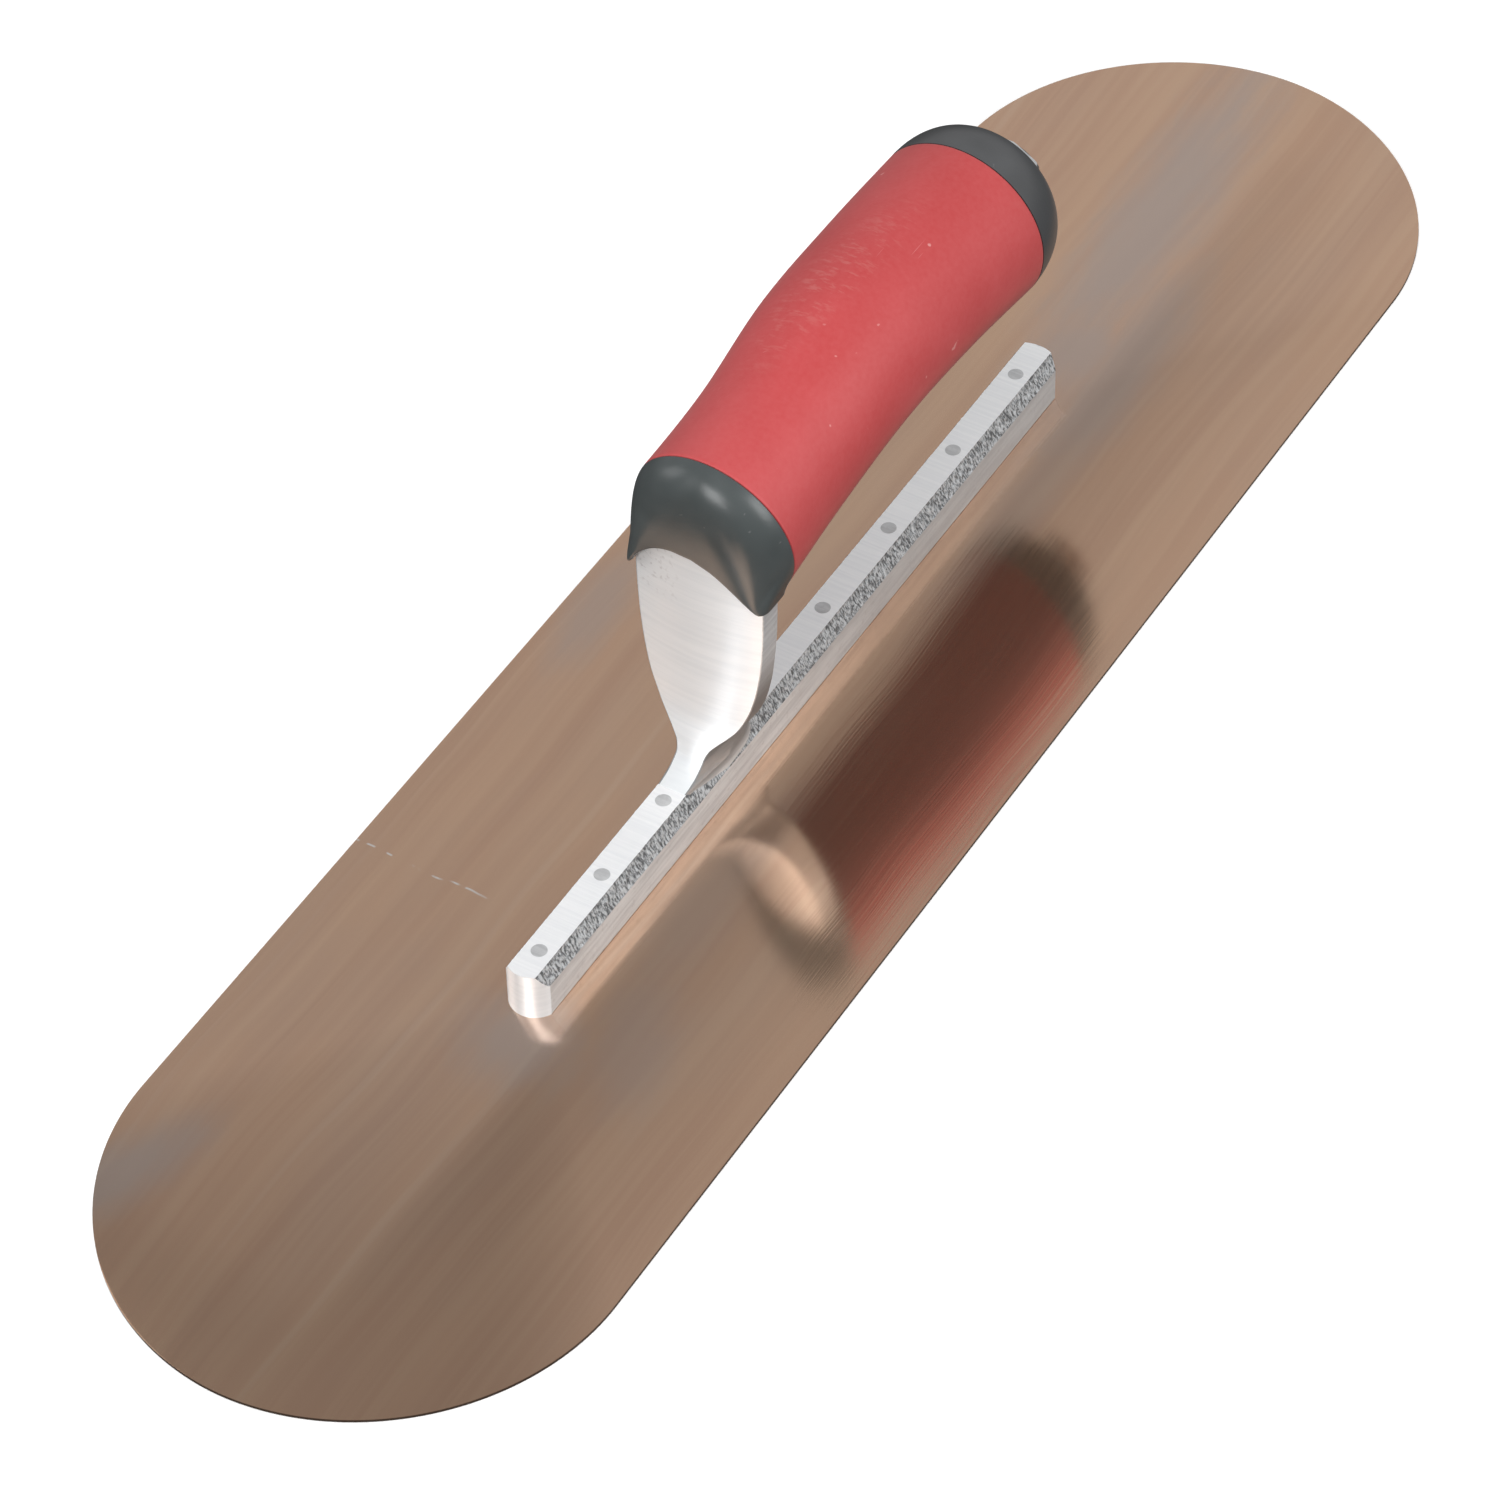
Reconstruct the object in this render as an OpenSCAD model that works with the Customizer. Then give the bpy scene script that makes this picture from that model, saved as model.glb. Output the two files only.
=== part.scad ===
// Finishing trowel with a fully rounded blade, for smoothing wet concrete.
// Millimetres. +X points to the front of the tool (the end of the shank),
// +Z points up from the ground, and Z = 0 is the working face of the blade.
// The origin is the middle of the blade, on the working face.

/* [Blade] */
// Overall length of the blade
blade_len = 406.4; // [381:0.1:432]
// Width of the blade; the ends are rounded to half of it
blade_w = 101.6; // [95:0.1:108]
// Thickness of the sheet
blade_t = 0.7; // [0.6:0.05:1.2]

/* [Mounting bar] */
// Rear end of the bar
bar_rear = -93; // [-96:0.5:-90]
// Front end of the bar
bar_front = 103; // [100:0.5:108]
// Half of the width of the bar
bar_hw = 4.75; // [4.5:0.05:5.5]
// Height of the top of the bar above the ground
bar_top = 11.7; // [11:0.1:13]
// Half of the width of the flat on top of the bar
flat_hw = 3; // [2.7:0.05:3.4]
// Height at which the rough chamfer of the bar starts
chamfer_z = 8.4; // [7.8:0.1:9]
// Plan radius of the front end of the bar
nose_r = 5.2; // [4.9:0.1:7]
// Plan radius of the rear end of the bar
tail_r = 7.4; // [6:0.1:10]

/* [Rivets] */
// Radius of a rivet shank
rivet_r = 1.6; // [1.3:0.05:2]
// Radius of the countersunk head in the working face
rivet_head_r = 2.5; // [2.2:0.05:3]
// Place of the rearmost rivet
rivet_first = -83.2; // [-85:0.1:-80]
// Rivet pitch from the rear to the shank
rivet_pitch = 25.5; // [25:0.1:26]
// Rivet pitch in front of the shank
rivet_pitch_front = 21.8; // [21:0.1:22.4]
// Place of the foremost rivet
rivet_last = 95.9; // [94:0.1:97]

/* [Shank] */
// Front face of the shank at its widest height
shank_x = 37.3; // [36.5:0.1:38]
// Half of the widest width of the shank
shank_hw = 13.8; // [12:0.1:14.2]
// Half of the width of the neck
neck_hw = 3.1; // [2.9:0.1:3.4]
// Thickness of the straight side wall of the shank
shank_t = 4.6; // [4:0.1:5]
// Height at which the shank enters the ferrule
shank_z = 56; // [55:0.5:57]
// Height of the top of the shank, inside the ferrule
post_top = 76; // [72:0.5:77]

/* [Tang and bolt] */
// Height of the axis of the tang and the bolt
axis_z = 69; // [68.6:0.1:70]
// Radius of the tang
tang_r = 8.5; // [7.5:0.1:8.8]
// Rear end of the tang
tang_end = -14; // [-18:0.5:-8]
// Radius of the bolt
bolt_r = 4; // [3.9:0.05:4]
// Front end of the bolt, in the threaded hole of the tang
bolt_tip = 4; // [0:0.5:6]
// Depth end of the threaded hole
hole_end = 8; // [7:0.5:12]
// Radius of the flange of the bolt head
flange_r = 8.9; // [8:0.1:9]
// Thickness of the flange
flange_t = 1.6; // [1.2:0.1:2]
// Size of the hexagon across its flats
hex_af = 13; // [12:0.5:14]
// Height of the hexagon
hex_h = 4.6; // [4:0.1:5.5]

/* [Handle] */
// Radius of the rigid core
core_r = 11.6; // [11:0.1:12]
// Rear end of the core
core_rear = -55; // [-56:0.5:-52]
// Front end of the core
core_front = 21; // [18:0.5:22]
// Height of a key rib on the core
rib_h = 1; // [0.6:0.1:1.4]
// Number of key ribs
rib_count = 6; // [4:1:8]
// Place of the seam between ferrule and grip, on the handle's axis
seam_front = 32.4; // [32:0.1:33]
// Lean of the front seam
seam_front_lean = 10.3; // [8:0.1:11]
// Place of the seam between grip and rear cap, on the handle's axis
seam_rear = -60.2; // [-61:0.1:-59]
// Lean of the rear seam
seam_rear_lean = 4; // [2:0.1:6]
// Length of the domed rear cap behind the seam
cap_len = 13.2; // [12:0.1:14]

/* [Hidden] */
$fn = 96;
ring_n = 48;
// Stations of the handle: place, height of its axis, half width, half height, sideways place of its axis
st = [[-84, 67.0, 18.6, 20.1, 0], [-60, 69.7, 18.1, 19.5, 0], [-36, 71.9, 17.5, 18.9, 0], [-12, 72.2, 17.1, 18.5, 0],
      [12, 68.7, 16.3, 17.9, 0.3], [36, 67.2, 16.7, 19.0, 1], [60, 66.5, 17.5, 20.5, 1.6]];
st_step = 24;
// Levels of the shank: height, front face, half width in front, crown, wall, back, half width behind
lev = [[8, 49.9, neck_hw, 0.0, 13.5, 13, 4.6],
       [10.4, 49.8, neck_hw, 0.0, 13.2, 12, 4.6],
       [11.8, 49, neck_hw, 0.0, 12.6, 11, 4.6],
       [12.3, 46.8, neck_hw, 0.1, 11.6, 9.6, 4.6],
       [13.2, 44.6, neck_hw, 0.2, 10.4, 8, 4.6],
       [14.6, 42.8, neck_hw, 0.3, 9.2, 6, 4.6],
       [16.4, 41.6, neck_hw + 0.5, 0.5, 8.4, 4, 5.1],
       [18.2, 40.6, 5.0, 0.7, 7.8, 3.0, 6.1],
       [20, 39.6, 6.7, 0.8, 7.2, 2.6, 7.5],
       [22, 38.8, 8.3, 0.9, 6.7, 2.3, 8.8],
       [25, 38.2, 9.8, 1.1, 6.0, 2.1, 10.1],
       [29, 37.9, 11.2, 1.3, 5.4, 2.0, 11.3],
       [34, 37.6, 12.3, 1.5, 5.0, 1.9, 12.3],
       [40, 37.4, 13.1, 1.6, shank_t, 1.8, 13.1],
       [47, shank_x, 13.6, 1.7, shank_t, 1.7, 13.6],
       [shank_z, shank_x, shank_hw, 1.7, shank_t, 1.7, shank_hw],
       [post_top, shank_x, shank_hw, 1.7, shank_t, 1.7, shank_hw]];
// Length of a rounded end of the blade and the power of its curve; 1 is an ellipse
end_l = 51.3;
end_p = 1.02;
sec_n = 28;
post_c = 34.8;
// Height towards which the rear cap narrows
dome_z = 67.6;
rivet_x = concat([for (i = [0:4]) rivet_first + i * rivet_pitch], [for (i = [2:-1:0]) rivet_last - i * rivet_pitch_front]);

// Smooth curve through column k of the stations
function seg(x) = min(len(st) - 3, max(1, floor((x - st[0][0]) / st_step)));
function spline(x, k) = let (i = seg(x), t = (x - st[i][0]) / st_step,
    a = st[i - 1][k], b = st[i][k], c = st[i + 1][k], d = st[i + 2][k])
    0.5 * ((2 * b) + (c - a) * t + (2 * a - 5 * b + 4 * c - d) * t * t + (3 * b - a - 3 * c + d) * t * t * t);
// A point of the handle's skin: place on the axis, angle, lean of the ring, scale
function skin(x, q, lean, k = 1) = [x + k * spline(x, 3) * sin(q) * sin(lean),
    spline(x, 4) + k * spline(x, 2) * cos(q),
    spline(x, 1) + k * spline(x, 3) * sin(q) * cos(lean)];
function lean_at(x) = seam_rear_lean + (seam_front_lean - seam_rear_lean) * (x - seam_rear) / (seam_front - seam_rear);

// Closed solid through a list of rings of equal length
module loft(rings) {
    n = len(rings[0]);
    m = len(rings);
    pts = [for (r = rings) for (p = r) p];
    quads = [for (i = [0:m - 2]) for (j = [0:n - 1]) let (k = (j + 1) % n)
        each [[i * n + j, (i + 1) * n + k, i * n + k], [i * n + j, (i + 1) * n + j, (i + 1) * n + k]]];
    c0 = len(pts);
    mid0 = [for (a = [0:2]) let (v = [for (p = rings[0]) p[a]]) sum(v) / n];
    mid1 = [for (a = [0:2]) let (v = [for (p = rings[m - 1]) p[a]]) sum(v) / n];
    low = [for (j = [0:n - 1]) [j, (j + 1) % n, c0]];
    high = [for (j = [0:n - 1]) [(m - 1) * n + (j + 1) % n, (m - 1) * n + j, c0 + 1]];
    polyhedron(points = concat(pts, [mid0, mid1]), faces = concat(quads, low, high), convexity = 6);
}
function sum(v, i = 0) = i >= len(v) ? 0 : v[i] + sum(v, i + 1);

// One outline of the shank: a crowned front, straight sides and a flat rounded back
function d_section(l) = concat(
    [for (i = [0:sec_n / 2 - 1]) let (u = 1 - 2 * i / (sec_n / 2 - 1)) [l[1] + l[3] * (1 - u * u), -l[2] * u, l[0]]],
    [for (i = [0:sec_n / 2 - 1]) let (q = 180 * i / (sec_n / 2 - 1), s = pow(sin(q), 0.6), c = cos(q))
        [l[1] - l[4] - l[5] * s, l[6] * sign(c) * pow(abs(c), 0.6), l[0]]]);

module blade() {
    color("#b08a66")
    difference() {
        linear_extrude(blade_t)
        polygon([for (s = [1, -1]) for (i = [0:72]) let (q = -90 + 180 * i / 72)
            [s * (blade_len / 2 - end_l + end_l * pow(cos(q), end_p)), s * blade_w / 2 * sp(sin(q), end_p)]]);
        for (x = rivet_x) translate([x, 0, 0]) rivet_shape(2);
    }
}

// A rivet: countersunk head below, flush head above; extra lengthens it as a cutter
module rivet_shape(extra = 0) {
    rotate_extrude($fn = 32)
    polygon([[0, -extra], [rivet_head_r, -extra], [rivet_head_r, 0], [rivet_r, blade_t], [rivet_r, bar_top + extra], [0, bar_top + extra]]);
}

module rivets() {
    color("#9a9a9c")
    for (x = rivet_x) translate([x, 0, 0]) rivet_shape();
}

module bar() {
    difference() {
        intersection() {
            translate([bar_rear - 1, 0, 0]) rotate([90, 0, 90])
            linear_extrude(bar_front - bar_rear + 2)
            polygon([[-bar_hw, blade_t], [bar_hw, blade_t], [bar_hw, chamfer_z], [flat_hw, bar_top], [-flat_hw, bar_top], [-bar_hw, chamfer_z]]);
            union() {
                translate([bar_front - nose_r, 0, 0]) cylinder(r = nose_r, h = 30);
                translate([bar_rear + tail_r, 0, 0]) cylinder(r = tail_r, h = 30);
                translate([bar_rear + tail_r, -6, 0]) cube([bar_front - nose_r - bar_rear - tail_r, 12, 30]);
            }
        }
        for (x = rivet_x) translate([x, 0, 0]) rivet_shape(2);
    }
}

module post() {
    loft([for (l = lev) d_section(l)]);
}

module tang() {
    translate([tang_end, 0, axis_z]) rotate([0, 90, 0]) cylinder(r = tang_r, h = shank_x - tang_end - 2);
}

module mounting() {
    color("#d9dcde")
    difference() {
        union() {
            bar();
            post();
            tang();
        }
        translate([tang_end - 1, 0, axis_z]) rotate([0, 90, 0]) cylinder(r = bolt_r, h = hole_end - tang_end + 1);
    }
}

// Rim of the ferrule around the shank, by angle around the handle
function rim_q(q) = let (a = abs(q) > 90 ? 180 - abs(q) : q, up = q > 0)
    q > 90 ? 180 - rim_q(180 - q) :
    q < -90 ? -180 - rim_q(-180 - q) :
    q >= 0 ? 45 + q / 2 :
    q > -32 ? 45 + q * 90 / 32 :
    -45 - (-32 - q) * 45 / 58;
function sp(v, e) = sign(v) * pow(abs(v), e);
function rim(q) = let (f = rim_q(q), s = sin(f), c = cos(f),
    y = 15.1 * sp(c, 0.34), x = post_c + (s > 0 ? 5.3 : 4.9) * sp(s, 0.34),
    w = abs(y + 3 * (1 - y * y / 228)),
    z = s > 0 ? 56 + 8.6 * (1 - pow(min(1, w / 14.3), 2.3)) * min(1, s / 0.7) : 56 + 5.2 * s * (1 - pow(min(1, abs(y) / 15.1), 3)))
    [x, y, z];
function mag(v) = sqrt(v[0] * v[0] + v[1] * v[1] + v[2] * v[2]);
// Skin of the ferrule: t = 0 at the seam, 1 at the rim
function hood(q, t) = let (s = skin(seam_front, q, seam_front_lean), e = rim(q), d = mag(e - s),
    m0 = d * (0.55 + 0.55 * max(0, sin(q))) * [0.985, cos(q) > 0 ? 0.06 * cos(q) : -0.05 * cos(q), -0.174],
    m1 = d * 0.8 * [-0.18 * max(0, sin(q)), -0.12 * cos(q), -0.97],
    t2 = t * t, t3 = t2 * t)
    (2 * t3 - 3 * t2 + 1) * s + (t3 - 2 * t2 + t) * m0 + (3 * t2 - 2 * t3) * e + (t3 - t2) * m1;

module spigot(x0, x1) {
    translate([x0, 0, axis_z]) rotate([0, 90, 0]) cylinder(r = core_r, h = x1 - x0);
}

module front_ferrule() {
    color("#2f3434")
    difference() {
        union() {
            loft([for (i = [0:12]) [for (j = [0:ring_n - 1]) hood(-180 + 360 * j / ring_n, i / 12)]]);
            spigot(core_front, seam_front + 2);
        }
        post();
        tang();
    }
}

module core_shape() {
    translate([core_rear, 0, axis_z]) rotate([0, 90, 0]) {
        cylinder(r = core_r, h = core_front - core_rear);
        for (i = [0:rib_count - 1]) rotate([0, 0, i * 360 / rib_count])
            translate([core_r - 1, -1.2, 4]) cube([1 + rib_h, 2.4, core_front - core_rear - 8]);
    }
}

module handle_core() {
    color("#3a3d3d")
    difference() {
        core_shape();
        tang();
        translate([core_rear - 1, 0, axis_z]) rotate([0, 90, 0]) cylinder(r = bolt_r + 0.4, h = tang_end - core_rear + 2);
    }
}

module grip_sleeve() {
    color("#c2444a")
    difference() {
        loft([for (i = [0:30]) let (x = seam_rear + (seam_front - seam_rear) * i / 30)
            [for (j = [0:ring_n - 1]) skin(x, 360 * j / ring_n, lean_at(x))]]);
        core_shape();
        spigot(seam_rear - 8, core_rear + 1);
        spigot(core_front - 1, seam_front + 8);
    }
}

// Skin of the rear cap: t = 0 at the seam, 1 at the flat under the bolt head
function dome(q, t) = let (k = 1 - 0.50 * pow(t, 2.05), s = skin(seam_rear, q, seam_rear_lean), a = 90 * t)
    [s[0] * (1 - t) + t * seam_rear - cap_len * sin(a), s[1] * k, (s[2] - dome_z) * k + dome_z];

module rear_cap() {
    color("#383c3d")
    difference() {
        union() {
            loft([for (i = [10:-1:0]) [for (j = [0:ring_n - 1]) dome(360 * j / ring_n, i / 10)]]);
            spigot(seam_rear - 2, core_rear);
        }
        translate([seam_rear - 20, 0, axis_z]) rotate([0, 90, 0]) cylinder(r = bolt_r + 0.4, h = 40);
    }
}

module handle_bolt() {
    color("#c9cccf")
    translate([seam_rear - cap_len, 0, axis_z]) rotate([0, 90, 0]) {
        cylinder(r = bolt_r, h = bolt_tip - seam_rear + cap_len);
        translate([0, 0, -flange_t]) cylinder(r = flange_r, h = flange_t);
        translate([0, 0, -flange_t - hex_h]) rotate([0, 0, 30]) cylinder(d = hex_af / cos(30), h = hex_h + flange_t / 2, $fn = 6);
    }
}

blade();
mounting();
rivets();
front_ferrule();
handle_core();
grip_sleeve();
rear_cap();
handle_bolt();
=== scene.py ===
import bpy, bmesh, math
import numpy as np
from mathutils import Vector, Matrix, noise


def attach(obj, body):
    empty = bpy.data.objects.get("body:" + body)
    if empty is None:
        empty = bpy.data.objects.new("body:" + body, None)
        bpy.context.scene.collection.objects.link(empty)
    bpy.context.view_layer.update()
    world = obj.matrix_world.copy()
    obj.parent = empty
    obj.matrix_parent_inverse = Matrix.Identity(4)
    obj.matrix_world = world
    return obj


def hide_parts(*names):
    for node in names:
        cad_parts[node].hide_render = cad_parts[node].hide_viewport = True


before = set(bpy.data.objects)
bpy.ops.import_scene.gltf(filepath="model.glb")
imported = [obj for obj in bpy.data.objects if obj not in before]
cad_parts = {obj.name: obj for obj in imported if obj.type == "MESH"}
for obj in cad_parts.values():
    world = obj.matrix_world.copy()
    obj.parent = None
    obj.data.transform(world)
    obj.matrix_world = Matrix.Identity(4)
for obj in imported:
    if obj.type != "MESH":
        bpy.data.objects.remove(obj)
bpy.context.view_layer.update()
MM = 0.001

# ------------------------------------------------------------------ dimensions (mm), the same as the CAD part
BLADE_LEN, BLADE_W, BLADE_T = 406.4, 101.6, 0.7
END_AX, END_N = 51.3, 1.954
BAR_REAR, BAR_FRONT, BAR_HW, BAR_TOP = -93.0, 103.0, 4.75, 11.7
FLAT_HW, CHAM_Z, NOSE_R, TAIL_R = 3.0, 8.4, 5.2, 7.4
RIVET_X = [-83.2 + 25.5 * i for i in range(5)] + [95.9 - 21.8 * i for i in (2, 1, 0)]
RIVET_R, RIVET_HEAD_R = 1.6, 2.5
AXIS_Z = 69.0
DOME_Z = 67.6
SEAM_F, LEAN_F, SEAM_R, LEAN_R = 32.4, math.radians(10.3), -60.2, math.radians(4.0)
CAP_LEN = 13.2
ST = np.array([[-84, 67.0, 18.6, 20.1, 0], [-60, 69.7, 18.1, 19.5, 0], [-36, 71.9, 17.5, 18.9, 0], [-12, 72.2, 17.1, 18.5, 0],
               [12, 68.7, 16.3, 17.9, 0.3], [36, 67.2, 16.7, 19.0, 1], [60, 66.5, 17.5, 20.5, 1.6]])


def spline(x, k):
    x = np.asarray(x, float)
    i = np.clip(np.floor((x - ST[0, 0]) / 24).astype(int), 1, len(ST) - 3)
    t = (x - ST[i, 0]) / 24
    a, b, c, d = ST[i - 1, k], ST[i, k], ST[i + 1, k], ST[i + 2, k]
    return 0.5 * (2 * b + (c - a) * t + (2 * a - 5 * b + 4 * c - d) * t * t + (3 * b - a - 3 * c + d) * t ** 3)


def skin(x, q, lean, k=1.0):
    q = np.asarray(q, float)
    return np.stack([x + k * spline(x, 3) * np.sin(q) * math.sin(lean) + 0 * q,
                     spline(x, 4) + k * spline(x, 2) * np.cos(q),
                     spline(x, 1) + k * spline(x, 3) * np.sin(q) * math.cos(lean)], -1)


# ------------------------------------------------------------------ mesh helpers
def make(name, verts, faces, smooth_angle=32.0, mats=(), face_mats=None):
    me = bpy.data.meshes.new(name)
    me.from_pydata([tuple(float(c) * MM for c in v) for v in verts], [], [tuple(int(i) for i in f) for f in faces])
    me.validate(verbose=False)
    bm = bmesh.new(); bm.from_mesh(me)
    bmesh.ops.remove_doubles(bm, verts=bm.verts, dist=1e-7)
    bmesh.ops.recalc_face_normals(bm, faces=bm.faces)
    bm.to_mesh(me); bm.free()
    for p in me.polygons:
        p.use_smooth = True
    me.set_sharp_from_angle(angle=math.radians(smooth_angle))
    ob = bpy.data.objects.new(name, me)
    bpy.context.scene.collection.objects.link(ob)
    for m in mats:
        me.materials.append(m)
    return ob


def loft(rings, cap0=True, cap1=True, closed=True):
    """rings: list of (n,3) arrays. Returns verts, faces."""
    n = len(rings[0]); m = len(rings)
    V = np.concatenate(rings, 0).tolist(); F = []
    for i in range(m - 1):
        for j in range(n if closed else n - 1):
            k = (j + 1) % n
            F.append((i * n + j, i * n + k, (i + 1) * n + k, (i + 1) * n + j))
    if cap0:
        c = len(V); V.append(np.mean(rings[0], 0).tolist())
        F += [((j + 1) % n, j, c) for j in range(n)]
    if cap1:
        c = len(V); V.append(np.mean(rings[-1], 0).tolist())
        F += [((m - 1) * n + j, (m - 1) * n + (j + 1) % n, c) for j in range(n)]
    return V, F


def merge(*parts):
    V, F = [], []
    for v, f in parts:
        o = len(V); V += list(v); F += [tuple(i + o for i in g) for g in f]
    return V, F


def cut(ob, cutter):
    mod = ob.modifiers.new("cut", "BOOLEAN")
    mod.operation = "DIFFERENCE"; mod.solver = "EXACT"; mod.object = cutter
    bpy.context.view_layer.update()
    dg = bpy.context.evaluated_depsgraph_get()
    me = bpy.data.meshes.new_from_object(ob.evaluated_get(dg))
    ob.modifiers.clear()
    old = ob.data; ob.data = me
    bpy.data.meshes.remove(old)
    bpy.data.objects.remove(cutter)


def lathe(profile, n=48, axis="z", centre=(0, 0, 0)):
    """profile: list of (r, h) from one end to the other, closed on the axis where r is 0."""
    V, F, rows = [], [], []
    for r, h in profile:
        if r < 1e-9:
            rows.append([len(V)]); V.append((0, 0, h))
        else:
            rows.append(list(range(len(V), len(V) + n)))
            V += [(r * math.cos(2 * math.pi * j / n), r * math.sin(2 * math.pi * j / n), h) for j in range(n)]
    for a, b in zip(rows, rows[1:]):
        for j in range(n):
            k = (j + 1) % n
            if len(a) == 1 and len(b) == 1:
                continue
            if len(a) == 1:
                F.append((a[0], b[k], b[j]))
            elif len(b) == 1:
                F.append((a[j], a[k], b[0]))
            else:
                F.append((a[j], a[k], b[k], b[j]))
    V = np.array(V, float)
    if axis == "x":
        V = V[:, [2, 0, 1]]
    return (V + np.array(centre, float)).tolist(), F


# ------------------------------------------------------------------ materials
def new_mat(name):
    m = bpy.data.materials.new(name); m.use_nodes = True
    nt = m.node_tree; nt.nodes.clear()
    out = nt.nodes.new("ShaderNodeOutputMaterial")
    b = nt.nodes.new("ShaderNodeBsdfPrincipled")
    nt.links.new(b.outputs[0], out.inputs[0])
    return m, nt, b


class G:
    """Small helper that builds node graphs."""
    def __init__(s, nt):
        s.nt = nt
        s.co = nt.nodes.new("ShaderNodeTexCoord").outputs["Object"]

    def n(s, kind, **kw):
        nd = s.nt.nodes.new(kind)
        for k, v in kw.items():
            setattr(nd, k, v)
        return nd

    def put(s, sock, v):
        if isinstance(v, bpy.types.NodeSocket):
            s.nt.links.new(v, sock)
        else:
            sock.default_value = v

    def vec(s, scale=(1, 1, 1), rot=(0, 0, 0), loc=(0, 0, 0), co=None):
        m = s.n("ShaderNodeMapping")
        s.nt.links.new(co or s.co, m.inputs["Vector"])
        m.inputs["Scale"].default_value = scale
        m.inputs["Rotation"].default_value = rot
        m.inputs["Location"].default_value = loc
        return m.outputs[0]

    def noise(s, vec, scale=1.0, detail=2.0, rough=0.5, dist=0.0):
        t = s.n("ShaderNodeTexNoise")
        s.nt.links.new(vec, t.inputs["Vector"])
        t.inputs["Scale"].default_value = scale
        t.inputs["Detail"].default_value = detail
        t.inputs["Roughness"].default_value = rough
        t.inputs["Distortion"].default_value = dist
        return t.outputs["Fac"]

    def math(s, op, a, b=None, c=None, clamp=False):
        m = s.n("ShaderNodeMath", operation=op, use_clamp=clamp)
        s.put(m.inputs[0], a)
        if b is not None:
            s.put(m.inputs[1], b)
        if c is not None:
            s.put(m.inputs[2], c)
        return m.outputs[0]

    def ramp(s, v, a, b, lo=0.0, hi=1.0, smooth=True):
        m = s.n("ShaderNodeMapRange", interpolation_type="SMOOTHSTEP" if smooth else "LINEAR")
        s.put(m.inputs["Value"], v)
        m.inputs["From Min"].default_value = a; m.inputs["From Max"].default_value = b
        m.inputs["To Min"].default_value = lo; m.inputs["To Max"].default_value = hi
        return m.outputs[0]

    def mix(s, f, a, b, mode="MIX"):
        m = s.n("ShaderNodeMix", data_type="RGBA", blend_type=mode)
        s.put(m.inputs[0], f)
        s.put(m.inputs[6], a if isinstance(a, bpy.types.NodeSocket) else (*a, 1.0))
        s.put(m.inputs[7], b if isinstance(b, bpy.types.NodeSocket) else (*b, 1.0))
        return m.outputs[2]

    def xyz(s, co=None):
        x = s.n("ShaderNodeSeparateXYZ"); s.nt.links.new(co or s.co, x.inputs[0])
        return x.outputs

    def bump(s, h, strength=0.2, dist=0.001, normal=None):
        b = s.n("ShaderNodeBump")
        b.inputs["Strength"].default_value = strength
        b.inputs["Distance"].default_value = dist
        s.nt.links.new(h, b.inputs["Height"])
        if normal is not None:
            s.nt.links.new(normal, b.inputs["Normal"])
        return b.outputs[0]

    def blob(s, x, y, rx, ry, rot=0.0, soft=0.5, warp=None):
        """Soft elliptic mask at (x, y) mm in the blade's plane, with a wavy border."""
        c, q = math.cos(rot), math.sin(rot)
        X, Y, _ = s.xyz()
        dx = s.math("SUBTRACT", X, x * MM); dy = s.math("SUBTRACT", Y, y * MM)
        u = s.math("ADD", s.math("MULTIPLY", dx, c / (rx * MM)), s.math("MULTIPLY", dy, q / (rx * MM)))
        v = s.math("ADD", s.math("MULTIPLY", dx, -q / (ry * MM)), s.math("MULTIPLY", dy, c / (ry * MM)))
        r = s.math("SQRT", s.math("ADD", s.math("MULTIPLY", u, u), s.math("MULTIPLY", v, v)))
        if warp is not None:
            r = s.math("ADD", r, s.math("MULTIPLY", s.math("SUBTRACT", warp, 0.5), 1.1))
        return s.ramp(r, 1.0 + soft, 1.0 - soft)


LEAN_X, LEAN_Y = (0.13, 0.24, 0.12), (-0.095, -0.205)


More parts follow.
